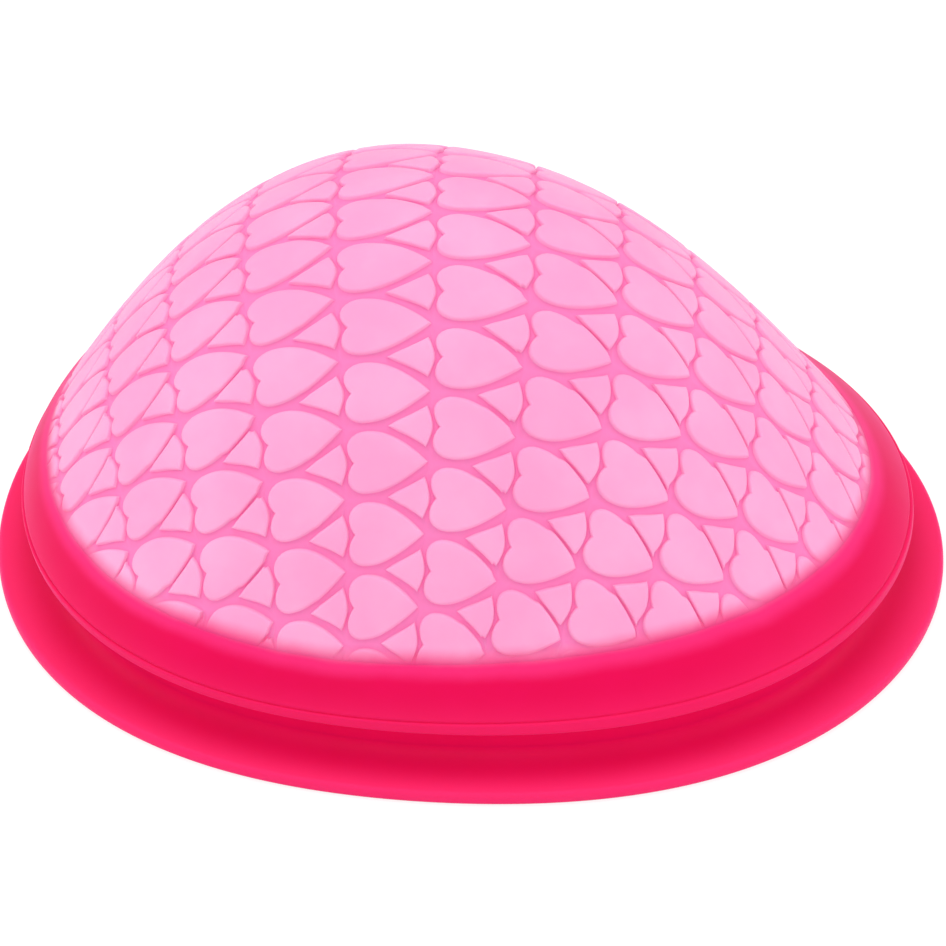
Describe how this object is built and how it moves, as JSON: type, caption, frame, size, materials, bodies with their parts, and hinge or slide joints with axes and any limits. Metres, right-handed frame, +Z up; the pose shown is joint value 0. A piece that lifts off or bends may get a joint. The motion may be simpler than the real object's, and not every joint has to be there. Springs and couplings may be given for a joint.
{
  "type": "soft silicone disc with film bowl",
  "caption": "Oval elastic ring with a resting flange and an overhanging bead, carrying a thin off-centre bowl of translucent film that fine grooves divide into heart-shaped pads.",
  "frame": {"origin": "middle of the footprint, on the flat underside of the base flange", "axes": "+Z up out of the crown of the bowl, which lies mouth down; +X the long direction, with the tips of the film's heart-shaped pads pointing about 11 degrees to one side of it; the disc is the same on both sides of the XZ plane"},
  "size_m": [0.0794, 0.0694, 0.0355],
  "materials": {
    "ring_silicone": "satin",
    "film_silicone": "satin translucent"
  },
  "bodies": {
    "root": {"base_flange": "ring_silicone", "ring_neck": "ring_silicone", "upper_ring": "ring_silicone", "bowl_film": "film_silicone"}
  },
  "joints": []
}
